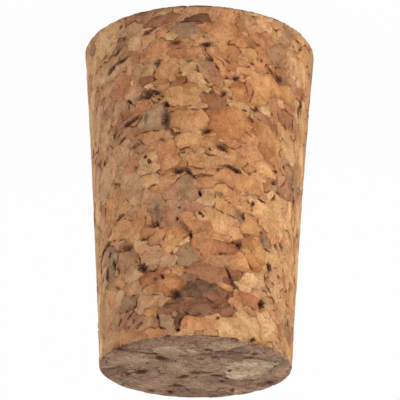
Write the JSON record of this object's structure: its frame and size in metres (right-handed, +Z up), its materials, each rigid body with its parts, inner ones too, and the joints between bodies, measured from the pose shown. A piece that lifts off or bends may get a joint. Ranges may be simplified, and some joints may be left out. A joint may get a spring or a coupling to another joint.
{
  "type": "cork stopper",
  "caption": "Tapered stopper of bonded cork granules with two flat sawn end faces, pushed by hand into the neck of a bottle, jug or flask to close it.",
  "frame": {"origin": "centre of the wide end face, which the stopper stands on", "axes": "+Z runs up the taper's axis from the wide end to the narrow end; +X and +Y are any two directions across it, and the side seen best in the render faces -Y"},
  "size_m": [0.025, 0.025, 0.036],
  "materials": {
    "cork": "matt ground agglomerated cork, bonded granules in tan, ochre and brown with fine dark joints and small open pits"
  },
  "bodies": {
    "root": {"stopper_body": "cork"}
  },
  "joints": []
}
